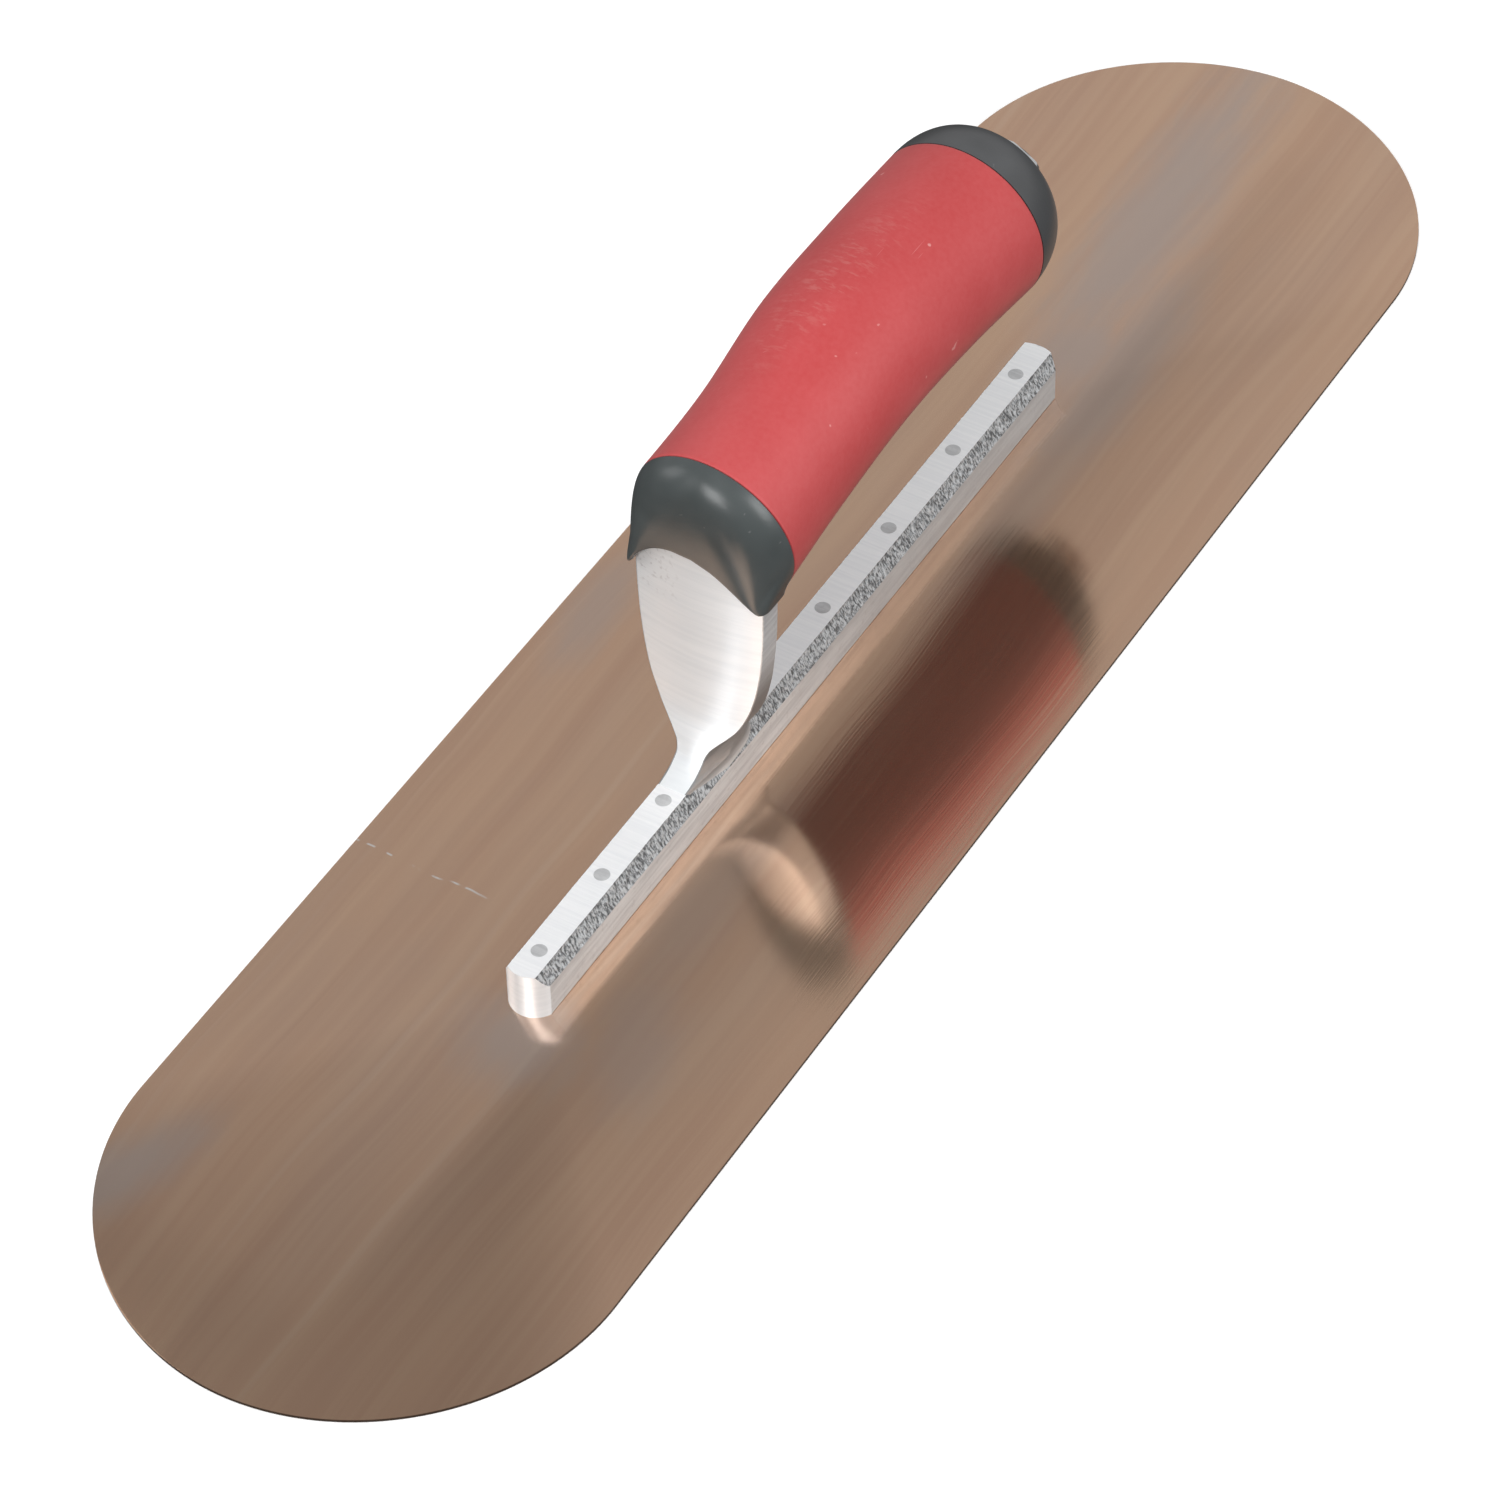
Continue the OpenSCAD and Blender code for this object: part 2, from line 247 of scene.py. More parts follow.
def mat_blade():
    m, nt, b = new_mat("golden_stainless"); g = G(nt)
    # grain that runs along the blade and fans a little towards the ends
    X, Y, Z = g.xyz()
    warp = g.noise(g.vec((9, 14, 0)), 1.0, 2.0)
    yw = g.math("ADD", Y, g.math("MULTIPLY", g.math("SUBTRACT", warp, 0.5), 0.010))
    cb = g.n("ShaderNodeCombineXYZ"); nt.links.new(X, cb.inputs[0]); nt.links.new(yw, cb.inputs[1]); cb.inputs[2].default_value = 0
    w = cb.outputs[0]
    fine = g.noise(g.vec((16, 2600, 1), co=w), 1.0, 3.0, 0.6)
    mid = g.noise(g.vec((7, 420, 1), co=w), 1.0, 3.0, 0.6)
    broad = g.noise(g.vec((3.2, 70, 1), loc=(0, 0.7, 0), co=w), 1.0, 3.0, 0.55)
    cloud = g.noise(g.vec((9, 24, 1), loc=(0.3, 0, 0)), 1.0, 4.0, 0.6)
    c = g.mix(g.ramp(broad, 0.32, 0.7), (0.665, 0.425, 0.300), (0.745, 0.495, 0.345))
    c = g.mix(g.math("MULTIPLY", g.ramp(cloud, 0.42, 0.72), 0.35), c, (0.63, 0.455, 0.36))
    c = g.mix(g.math("MULTIPLY", g.ramp(mid, 0.35, 0.7), 0.22), c, (0.84, 0.61, 0.43))
    # grey-violet heat stain and handling marks
    grey = (0.56, 0.475, 0.435)
    k = g.noise(g.vec((60, 220, 1)), 1.0, 4.0, 0.65)
    marks = None
    for x, y, rx, ry, rot, amt in ((-150, -4, 52, 9, 0.05, 0.75), (-104, 12, 34, 7, 0.05, 0.6), (-106, 2, 12, 9, 0, 0.7), (171, -42, 16, 6, -0.35, 0.7),
                                   (108, 3, 10, 10, 0, 0.65), (6, -44, 16, 5, 0.1, 0.5), (98, 22, 16, 7, 0.4, 0.35), (62, 15, 26, 6, 0, 0.3), (-70, 14, 40, 5, 0, 0.35)):
        a = g.math("MULTIPLY", g.blob(x, y, rx, ry, rot, 0.75, k), amt)
        marks = a if marks is None else g.math("MAXIMUM", marks, a)
    c = g.mix(marks, c, grey)
    # long pale drawing lines and a few scratches
    lines = g.ramp(g.noise(g.vec((1.6, 190, 1), loc=(2.0, 0.33, 0), co=w), 1.0, 1.0), 0.66, 0.72)
    c = g.mix(g.math("MULTIPLY", lines, 0.10), c, (0.90, 0.76, 0.62))
    sx = g.math("ABSOLUTE", g.math("SUBTRACT", X, g.math("ADD", 0.0815, g.math("MULTIPLY", g.math("SUBTRACT", g.noise(g.vec((40, 90, 1)), 1.0), 0.5), 0.003))))
    scratch = g.math("MULTIPLY", g.ramp(sx, 0.00035, 0.00005), g.ramp(Y, -0.018, -0.026))
    c = g.mix(g.math("MULTIPLY", scratch, g.ramp(g.noise(g.vec((200, 240, 1)), 1.0), 0.45, 0.55)), c, (0.9, 0.84, 0.8))
    nt.links.new(c, b.inputs["Base Color"])
    b.inputs["Metallic"].default_value = 0.94
    r = g.math("ADD", 0.135, g.math("MULTIPLY", g.math("SUBTRACT", fine, 0.5), 0.14))
    r = g.math("ADD", r, g.math("MULTIPLY", marks, 0.10))
    nt.links.new(r, b.inputs["Roughness"])
    b.inputs["Anisotropic"].default_value = 0.35
    h = g.math("ADD", g.math("MULTIPLY", fine, 0.5), g.math("MULTIPLY", mid, 0.5))
    bn = g.bump(h, 0.10, 0.0002)
    # the thin sheet is not optically flat: its mirror image leans a little towards the front end
    geo = g.n("ShaderNodeNewGeometry")
    up = g.ramp(g.xyz(geo.outputs["Normal"])[2], 0.5, 0.9)
    lx = g.math("ADD", g.ramp(Y, 0.004, 0.014, LEAN_X[0], LEAN_X[1]), g.ramp(Y, 0.014, 0.050, 0.0, LEAN_X[2] - LEAN_X[1], False))
    ly = g.ramp(Y, 0.012, 0.050, LEAN_Y[0], LEAN_Y[1], False)
    lv = g.n("ShaderNodeCombineXYZ"); nt.links.new(lx, lv.inputs[0]); nt.links.new(ly, lv.inputs[1])
    lean = g.n("ShaderNodeVectorMath", operation="SCALE")
    nt.links.new(lv.outputs[0], lean.inputs[0]); nt.links.new(up, lean.inputs["Scale"])
    add = g.n("ShaderNodeVectorMath", operation="ADD")
    nt.links.new(bn, add.inputs[0]); nt.links.new(lean.outputs[0], add.inputs[1])
    nrm = g.n("ShaderNodeVectorMath", operation="NORMALIZE"); nt.links.new(add.outputs[0], nrm.inputs[0])
    nt.links.new(nrm.outputs[0], b.inputs["Normal"])
    tg = g.n("ShaderNodeCombineXYZ"); tg.inputs[1].default_value = 1.0
    nt.links.new(tg.outputs[0], b.inputs["Tangent"])
    return m


def mat_alu(name, kind):
    m, nt, b = new_mat(name); g = G(nt)
    b.inputs["Metallic"].default_value = 1.0
    if kind == "ground":
        cross = g.noise(g.vec((2400, 60, 160)), 1.0, 3.0, 0.6)
        cross2 = g.noise(g.vec((1500, 40, 60)), 1.0, 3.0, 0.6)
        cloud = g.noise(g.vec((50, 50, 50)), 1.0, 3.0)
        c = g.mix(g.ramp(cross2, 0.3, 0.7), (0.90, 0.91, 0.93), (0.97, 0.975, 0.985))
        c = g.mix(g.math("MULTIPLY", g.ramp(cloud, 0.5, 0.8), 0.15), c, (0.80, 0.80, 0.81))
        r = g.math("ADD", 0.36, g.math("MULTIPLY", g.math("SUBTRACT", cross, 0.5), 0.25))
        b.inputs["Metallic"].default_value = 0.45
        h, st = g.math("ADD", g.math("MULTIPLY", cross, 0.6), g.math("MULTIPLY", cross2, 0.6)), 0.16
    elif kind == "leaf":
        X, Y, Z = g.xyz()
        cross = g.noise(g.vec((60, 60, 2600), rot=(0.06, 0, 0)), 1.0, 3.0, 0.6)
        cross2 = g.noise(g.vec((40, 40, 1100), rot=(0.06, 0, 0)), 1.0, 3.0, 0.6)
        pit = g.noise(g.vec((900, 900, 900)), 1.0, 2.0)
        c = g.mix(g.ramp(cross2, 0.3, 0.7), (0.86, 0.885, 0.905), (0.92, 0.94, 0.955))
        spot = g.math("MULTIPLY", g.ramp(pit, 0.55, 0.72), g.blob(37, -10, 30, 5.5, 0, 0.5))
        spot = g.math("MULTIPLY", spot, g.ramp(Z, 0.049, 0.053))
        c = g.mix(g.math("MULTIPLY", spot, 0.5), c, (0.55, 0.55, 0.56))
        r = g.math("ADD", 0.46, g.math("MULTIPLY", g.math("SUBTRACT", cross, 0.5), 0.2))
        h, st = g.math("ADD", g.math("MULTIPLY", cross, 0.5), g.math("MULTIPLY", cross2, 0.5)), 0.18
        b.inputs["Anisotropic"].default_value = 0.85
        b.inputs["Metallic"].default_value = 0.42
        tg = g.n("ShaderNodeCombineXYZ"); tg.inputs[2].default_value = 1.0
        nt.links.new(tg.outputs[0], b.inputs["Tangent"])
    elif kind == "side":
        b.inputs["Metallic"].default_value = 0.45
        lon = g.noise(g.vec((60, 900, 900)), 1.0, 3.0, 0.6)
        pit = g.noise(g.vec((700, 700, 700)), 1.0, 3.0, 0.6)
        c = g.mix(g.ramp(lon, 0.3, 0.7), (0.57, 0.59, 0.61), (0.73, 0.755, 0.77))
        c = g.mix(g.math("MULTIPLY", g.ramp(pit, 0.55, 0.75), 0.35), c, (0.42, 0.41, 0.41))
        X, Y, Z = g.xyz()
        # painted shade: the shank's side is darkened low down, where it stands in shade above the bar; the bar's side
        # is greyer towards the rear
        low = g.math("MULTIPLY", g.ramp(Z, 0.0085, 0.0125), g.ramp(Z, 0.044, 0.028))
        c = g.mix(g.math("MULTIPLY", low, 0.78), c, (0.16, 0.155, 0.15))
        c = g.mix(g.math("MULTIPLY", g.ramp(X, 0.03, -0.03), 0.5), c, (0.36, 0.38, 0.39))
        r = g.math("ADD", 0.48, g.math("MULTIPLY", g.math("SUBTRACT", lon, 0.5), 0.2))
        h, st = g.math("ADD", g.math("MULTIPLY", lon, 0.5), pit), 0.25
    elif kind == "rough":
        n1 = g.noise(g.vec((2300, 900, 900), rot=(0, 0, 0.35)), 1.0, 4.0, 0.65)
        n2 = g.noise(g.vec((3200, 1500, 1800)), 1.0, 3.0, 0.6)
        c = g.mix(g.ramp(n1, 0.38, 0.60), (0.08, 0.085, 0.09), (0.46, 0.48, 0.495))
        b.inputs["Metallic"].default_value = 0.40
        r = g.math("ADD", 0.42, g.math("MULTIPLY", n2, 0.25))
        h, st = g.math("ADD", n1, g.math("MULTIPLY", n2, 0.4)), 0.55
    elif kind == "rivet":
        n1 = g.noise(g.vec((1500, 120, 400)), 1.0, 3.0)
        pit = g.noise(g.vec((1200, 1200, 1200)), 1.0, 3.0)
        c = g.mix(g.ramp(n1, 0.3, 0.7), (0.56, 0.565, 0.575), (0.66, 0.665, 0.675))
        c = g.mix(g.math("MULTIPLY", g.ramp(pit, 0.5, 0.8), 0.5), c, (0.50, 0.50, 0.51))
        b.inputs["Metallic"].default_value = 0.6
        r = g.math("ADD", 0.38, g.math("MULTIPLY", pit, 0.15))
        h, st = g.math("ADD", n1, pit), 0.2
    else:  # bright plated steel
        n1 = g.noise(g.vec((900, 900, 900)), 1.0, 3.0)
        c = g.mix(g.ramp(n1, 0.35, 0.7), (0.70, 0.71, 0.73), (0.86, 0.87, 0.88))
        r = g.math("ADD", 0.16, g.math("MULTIPLY", n1, 0.12))
        h, st = n1, 0.08
    nt.links.new(c, b.inputs["Base Color"])
    nt.links.new(r, b.inputs["Roughness"])
    nt.links.new(g.bump(h, st, 0.0003), b.inputs["Normal"])
    return m


def mat_red():
    m, nt, b = new_mat("red_soft_grip"); g = G(nt)
    X, Y, Z = g.xyz()
    cloud = g.noise(g.vec((22, 30, 30)), 1.0, 4.0, 0.6)
    dust = g.noise(g.vec((900, 900, 900)), 1.0, 2.0, 0.5)
    speck = g.noise(g.vec((420, 420, 420), loc=(0.1, 0.2, 0.3)), 1.0, 1.0)
    c = g.mix(g.ramp(cloud, 0.3, 0.72), (0.455, 0.041, 0.043), (0.52, 0.064, 0.068))
    # pale scuff where a thumb rests, and fine handling lines
    scn = g.noise(g.vec((900, 260, 260), rot=(0, 0, 0.5)), 1.0, 3.0, 0.7)
    scuff = g.math("MULTIPLY", g.blob(-14, -2, 22, 5.5, -0.12, 0.6), g.ramp(scn, 0.5, 0.66))
    scuff = g.math("MULTIPLY", scuff, g.ramp(Z, 0.078, 0.084))
    c = g.mix(g.math("MULTIPLY", scuff, 0.22), c, (0.62, 0.27, 0.24))
    ln = g.noise(g.vec((60, 1400, 1400), rot=(0, 0.1, 0.35)), 1.0, 2.0, 0.5)
    lm = g.math("MULTIPLY", g.ramp(ln, 0.70, 0.74), g.ramp(g.noise(g.vec((30, 30, 30), loc=(3, 1, 0)), 1.0), 0.55, 0.65))
    c = g.mix(g.math("MULTIPLY", lm, 0.4), c, (0.72, 0.32, 0.32))
    c = g.mix(g.math("MULTIPLY", g.ramp(speck, 0.76, 0.80), 0.5), c, (0.75, 0.40, 0.38))
    c = g.mix(g.math("MULTIPLY", dust, 0.12), c, (0.72, 0.28, 0.28))
    # painted shade: the base colour turns near-black red where the grip's surface faces down
    geo = g.n("ShaderNodeNewGeometry")
    painted_underside_shade = g.ramp(g.xyz(geo.outputs["Normal"])[2], -0.10, -0.75, 0.0, 0.72)
    c = g.mix(painted_underside_shade, c, (0.07, 0.02, 0.02))
    nt.links.new(c, b.inputs["Base Color"])
    r = g.math("ADD", 0.52, g.math("MULTIPLY", cloud, 0.12))
    nt.links.new(r, b.inputs["Roughness"])
    b.inputs["Specular IOR Level"].default_value = 0.42
    b.inputs["Sheen Weight"].default_value = 0.12
    b.inputs["Sheen Roughness"].default_value = 0.45
    b.inputs["Sheen Tint"].default_value = (1, 0.75, 0.72, 1)
    h = g.math("ADD", g.math("MULTIPLY", dust, 0.4), g.noise(g.vec((2600, 2600, 2600)), 1.0, 2.0))
    nt.links.new(g.bump(h, 0.10, 0.0002), b.inputs["Normal"])
    return m


def mat_black(name, base, rough, bump=0.05):
    m, nt, b = new_mat(name); g = G(nt)
    n1 = g.noise(g.vec((40, 40, 40)), 1.0, 3.0, 0.6)
    n2 = g.noise(g.vec((1500, 1500, 1500)), 1.0, 2.0)
    sp = g.noise(g.vec((520, 520, 520)), 1.0, 1.0)
    c = g.mix(g.ramp(n1, 0.3, 0.7), tuple(x * 0.85 for x in base), tuple(x * 1.2 for x in base))
    c = g.mix(g.math("MULTIPLY", g.ramp(sp, 0.77, 0.80), 0.35), c, (0.25, 0.25, 0.25))
    nt.links.new(c, b.inputs["Base Color"])
    nt.links.new(g.math("ADD", rough, g.math("MULTIPLY", g.math("SUBTRACT", n1, 0.5), 0.12)), b.inputs["Roughness"])
    b.inputs["Specular IOR Level"].default_value = 0.42
    nt.links.new(g.bump(n2, bump, 0.0002), b.inputs["Normal"])
    return m


M_BLADE = mat_blade()
M_GROUND, M_LEAF = mat_alu("ground_aluminium", "ground"), mat_alu("brushed_shank", "leaf")
M_SIDE, M_ROUGH = mat_alu("cast_aluminium_side", "side"), mat_alu("rough_cast_edge", "rough")
M_RIVET, M_BOLT = mat_alu("rivet_metal", "rivet"), mat_alu("bright_bolt", "bolt")
M_RED = mat_red()
M_FERRULE = mat_black("gloss_black", (0.068, 0.078, 0.079), 0.33)
M_CAP = mat_black("satin_black", (0.072, 0.074, 0.077), 0.36, 0.10)
M_CORE = mat_black("core_plastic", (0.05, 0.055, 0.055), 0.5, 0.2)

# ------------------------------------------------------------------ blade
def outline(inset, n=96):
    th = np.linspace(-math.pi / 2, math.pi / 2, n + 1)
    c, s = np.cos(th), np.sin(th)
    x = (BLADE_LEN / 2 - END_AX) + (END_AX - inset) * np.abs(c) ** (2 / END_N)
    y = (BLADE_W / 2 - inset) * np.sign(s) * np.abs(s) ** (2 / END_N)
    r = np.stack([x, y], -1)
    return np.concatenate([r, -r], 0)


def build_blade():
    e = 0.10
    rows = []
    for z, i in ((0, e), (0.03, 0.03), (e, 0), (BLADE_T - e, 0), (BLADE_T - 0.03, 0.03), (BLADE_T, e)):
        p = outline(i); rows.append(np.column_stack([p, np.full(len(p), z)]))
    n = len(rows[0]); V = np.concatenate(rows).tolist(); F = []
    for i in range(len(rows) - 1):
        for j in range(n):
            k = (j + 1) % n
            F.append((i * n + j, i * n + k, (i + 1) * n + k, (i + 1) * n + j))
    F.append(tuple(range(n))[::-1]); F.append(tuple((len(rows) - 1) * n + j for j in range(n)))
    ob = make("blade_sheet", V, F, 40, [M_BLADE])
    parts = [lathe([(0, -1), (RIVET_HEAD_R, -1), (RIVET_HEAD_R, 0.0), (RIVET_R, BLADE_T), (RIVET_R, 3), (0, 3)], 32, centre=(x, 0, 0)) for x in RIVET_X]
    cutter = make("c", *merge(*parts))
    cut(ob, cutter)
    for p in ob.data.polygons:
        p.use_smooth = True
    ob.data.set_sharp_from_angle(angle=math.radians(40))
    if not ob.data.materials:
        ob.data.materials.append(M_BLADE)
    return ob


blade = build_blade()
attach(blade, "root"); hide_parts("blade")

# ------------------------------------------------------------------ bar with rough chamfers
def plan_x(y, front):
    """x of the bar's end at half width y."""
    if front:
        return BAR_FRONT - NOSE_R + math.sqrt(max(0, NOSE_R ** 2 - y * y))
    return BAR_REAR + TAIL_R - math.sqrt(max(0, TAIL_R ** 2 - y * y))


def build_bar():
    # half section from the bottom middle, round the side, to the top middle: (y, z, kind)
    sec = [(0, BLADE_T), (2.4, BLADE_T), (BAR_HW - 0.15, BLADE_T), (BAR_HW, BLADE_T + 0.15)]
    for i in range(1, 8):
        sec.append((BAR_HW, BLADE_T + 0.15 + (CHAM_Z - BLADE_T - 0.3) * i / 8))
    sec.append((BAR_HW, CHAM_Z - 0.12))
    nb = 12
    band0 = len(sec)
    for i in range(nb + 1):
        t = i / nb
        sec.append((BAR_HW + (FLAT_HW - BAR_HW) * t, CHAM_Z + (BAR_TOP - CHAM_Z) * t))
    band1 = len(sec)
    for y in (FLAT_HW - 0.18, 2.4, 1.6, 0.8, 0.0):
        sec.append((y, BAR_TOP))
    full = [(y, z, i) for i, (y, z) in enumerate(sec)]
    ring = full + [(-y, z, i) for y, z, i in full[-2:0:-1]]
    n = len(ring)
    xs = np.concatenate([np.linspace(0, 1, 9)[:-1] * 0.012, np.linspace(0.012, 0.988, 800), 1 - np.linspace(0, 1, 9)[::-1][1:] * 0.012])
    V, F = [], []
    for t in xs:
        for y, z, i in ring:
            x0, x1 = plan_x(y, False), plan_x(y, True)
            x = x0 + (x1 - x0) * t
            d = 0.0
            if band0 < i < band1 - 1 and 0.004 < t < 0.993:
                s = (i - band0) / (nb)
                fade = math.sin(math.pi * s) ** 0.5
                sg = 3.0 if y < 0 else 0.0
                # ridges that cross the chamfer, about 1 mm apart and uneven
                a = noise.noise(Vector((x * 1.7 + 0.4 * z, s * 2.6 + sg, 0.3))) + 0.6 * noise.noise(Vector((x * 3.4 - 0.8 * z, s * 4.2 + sg, 4.1)))
                b = noise.noise(Vector((x * 6.5, s * 8 + sg, 7.7)))
                d = -0.05 + 0.16 * a * fade + 0.08 * b
                if abs(x - 38) < 9:
                    d *= 0.4
            elif i == band1 - 1 or i == band1:
                sg = 3.0 if y < 0 else 0.0
                d = 0.15 * noise.noise(Vector((x * 1.3, 2.2 + sg, 9.1))) if 0.004 < t < 0.993 else 0
                V.append((x, y + math.copysign(d, y), z)); continue
            ny, nz = (BAR_TOP - CHAM_Z), (BAR_HW - FLAT_HW)
            L = math.hypot(ny, nz)
            V.append((x, y + math.copysign(1, y) * d * ny / L if i > band0 else y, z + (d * nz / L if i > band0 else 0)))
    m = len(xs)
    fm = []
    for a in range(m - 1):
        for j in range(n):
            k = (j + 1) % n
            F.append((a * n + j, a * n + k, (a + 1) * n + k, (a + 1) * n + j))
            lo = min(ring[j][2], ring[k][2])
            fm.append(1 if band0 <= lo < band1 - 1 else (0 if lo >= band1 - 1 else 2))
    # the two end faces, curved in plan
    ys = np.linspace(-BAR_HW, BAR_HW, 41)
    for front in (False, True):
        o = len(V)
        for y in ys:
            top = BAR_TOP if abs(y) <= FLAT_HW else CHAM_Z + (BAR_TOP - CHAM_Z) * (BAR_HW - abs(y)) / (BAR_HW - FLAT_HW)
            for r in range(13):
                V.append((plan_x(y, front), y, BLADE_T + (top - BLADE_T) * r / 12))
        for c in range(len(ys) - 1):
            for r in range(12):
                q = [o + c * 13 + r, o + c * 13 + r + 1, o + (c + 1) * 13 + r + 1, o + (c + 1) * 13 + r]
                F.append(tuple(q if front else q[::-1])); fm.append(4)
    return V, F, fm


# ------------------------------------------------------------------ shank
LEV = np.array([  # height, front face, half width at the front edge, crown, wall, half width at the rear edge, back
    [8.0, 49.9, 3.10, 0.0, 13.5, 4.6, 13],
    [10.4, 49.8, 3.10, 0.0, 13.2, 4.6, 12],
    [11.72, 49.2, 3.05, 0.0, 12.6, 4.6, 11],
    [12.2, 46.8, 3.10, 0.1, 11.6, 4.6, 9.6],
    [13.2, 44.6, 3.10, 0.2, 10.4, 4.6, 8],
    [14.6, 42.8, 3.10, 0.3, 9.2, 4.6, 6],
    [16.4, 41.6, 3.60, 0.5, 8.4, 5.1, 4],
    [18.2, 40.6, 5.00, 0.7, 7.8, 6.1, 3.0],
    [20.0, 39.6, 6.70, 0.8, 7.2, 7.5, 2.6],
    [22.0, 38.8, 8.30, 0.9, 6.7, 8.8, 2.3],
    [25.0, 38.2, 9.80, 1.1, 6.0, 10.1, 2.1],
    [29.0, 37.9, 11.2, 1.3, 5.4, 11.3, 2.0],
    [34.0, 37.6, 12.3, 1.5, 5.0, 12.3, 1.9],
    [40.0, 37.4, 13.1, 1.6, 4.6, 13.1, 1.8],
    [47.0, 37.3, 13.6, 1.7, 4.6, 13.6, 1.7],
    [56.0, 37.3, 13.8, 1.7, 4.6, 13.8, 1.7],
    [72.0, 37.3, 13.8, 1.7, 4.6, 13.8, 1.7]])


def pchip(xk, yk, x):
    h = np.diff(xk); dl = np.diff(yk) / h
    d = np.zeros(len(xk)); d[0], d[-1] = dl[0], dl[-1]
    for i in range(1, len(xk) - 1):
        if dl[i - 1] * dl[i] > 0:
            w1, w2 = 2 * h[i] + h[i - 1], h[i] + 2 * h[i - 1]
            d[i] = (w1 + w2) / (w1 / dl[i - 1] + w2 / dl[i])
    i = np.clip(np.searchsorted(xk, x) - 1, 0, len(xk) - 2)
    t = (x - xk[i]) / h[i]
    return ((2 * t ** 3 - 3 * t ** 2 + 1) * yk[i] + (t ** 3 - 2 * t ** 2 + t) * h[i] * d[i]
            + (3 * t ** 2 - 2 * t ** 3) * yk[i + 1] + (t ** 3 - t ** 2) * h[i] * d[i + 1])


def shank_ring(z):
    _, xf, wf, cr, wall, wb, back = [z] + [float(pchip(LEV[:, 0], LEV[:, k], z)) for k in range(1, 7)]
    pts = []
    N = 20
    er = 0.28  # rounding of the front edge
    for i in range(N + 1):   # front face, from +y to -y
        u = 1 - 2 * i / N
        pts.append((xf + cr * (1 - u * u), (wf - er) * u))
    def side(sg):
        p = []
        for a in (30, 60):
            p.append((xf - er + er * math.cos(math.radians(a)), sg * (wf - er + er * math.sin(math.radians(a)))))
        for t in (0.06, 0.25, 0.5, 0.75, 0.94):
            p.append((xf - er - (wall - er) * t, sg * (wf + (wb - wf) * t)))
        return p
    pts += side(-1)
    M = 18
    for i in range(M + 1):   # back, from -y to +y
        a = math.pi * i / M
        c, s = math.cos(a), math.sin(a)
        pts.append((xf - wall - back * s ** 0.6, -wb * math.copysign(abs(c) ** 0.6, c)))
    pts += side(1)[::-1]
    return np.array([(x, y, z) for x, y in pts])


def build_mounting():
    V, F, fm = build_bar()
    zs = np.concatenate([np.linspace(8.0, 24, 52), np.linspace(24, 70, 40)[1:]])
    rings = [shank_ring(z) for z in zs]
    v2, f2 = loft(rings)
    n = len(rings[0]); fm2 = []
    for a in range(len(rings) - 1):
        for j in range(n):
            fm2.append(3 if j < 20 else (2 if zs[a] > 17 else 2))
    fm2 += [2] * (len(f2) - len(fm2))
    o = len(V)
    V += v2; F += [tuple(i + o for i in f) for f in f2]; fm += fm2
    me = bpy.data.meshes.new("bar_and_shank")
    me.from_pydata([tuple(float(c) * MM for c in v) for v in V], [], F)
    for m in (M_GROUND, M_ROUGH, M_SIDE, M_LEAF, M_LEAF):
        me.materials.append(m)
    me.polygons.foreach_set("material_index", fm)
    bm = bmesh.new(); bm.from_mesh(me)
    bmesh.ops.remove_doubles(bm, verts=bm.verts, dist=1e-7)
    bmesh.ops.recalc_face_normals(bm, faces=bm.faces)
    bm.to_mesh(me); bm.free()
    for p in me.polygons:
        p.use_smooth = True
    me.set_sharp_from_angle(angle=math.radians(34))
    ob = bpy.data.objects.new("bar_and_shank", me)
    bpy.context.scene.collection.objects.link(ob)
    return ob


mounting = build_mounting()
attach(mounting, "root"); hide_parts("mounting")

# ------------------------------------------------------------------ rivets
def build_rivets():
    parts = []
    for x in RIVET_X:
        t = BAR_TOP
        parts.append(lathe([(0, 0), (RIVET_HEAD_R - 0.08, 0), (RIVET_HEAD_R - 0.02, 0.05), (RIVET_R, BLADE_T), (RIVET_R, t - 0.1), (RIVET_R - 0.02, t + 0.01),
                            (RIVET_R - 0.10, t + 0.035), (RIVET_R * 0.5, t + 0.04), (0, t + 0.04)], 40, centre=(x, 0, 0)))
    return make("flush_rivets", *merge(*parts), 30, [M_RIVET])


rivets = build_rivets()
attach(rivets, "root"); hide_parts("rivets")

# ------------------------------------------------------------------ ferrule
def sp(v, e):
    return np.sign(v) * np.abs(v) ** e


def rim_q(q):
    q = math.degrees(q)
    if q > 90:
        return 180 - math.degrees(math.radians(rim_q(math.radians(180 - q))))
    if q < -90:
        return -180 - rim_q(math.radians(-180 - q))
    if q >= 0:
        return 45 + q / 2
    if q > -32:
        return 45 + q * 90 / 32
    return -45 - (-32 - q) * 45 / 58


def rim(q, inset=0.0):
    f = math.radians(rim_q(q)); s, c = math.sin(f), math.cos(f)
    y = (15.1 - inset) * sp(c, 0.34); x = 34.8 + ((5.3 if s > 0 else 4.9) - inset) * sp(s, 0.34)
    if s > 0:
        w = abs(y + 3 * (1 - y * y / 228))
        z = 56 + 8.6 * (1 - min(1, w / (14.3 - inset * 0.9)) ** 2.3) * min(1, s / 0.7)
    else:
        z = 56 + 5.2 * s * (1 - min(1, abs(y) / 15.1) ** 3)
    return np.array([x, y, z])


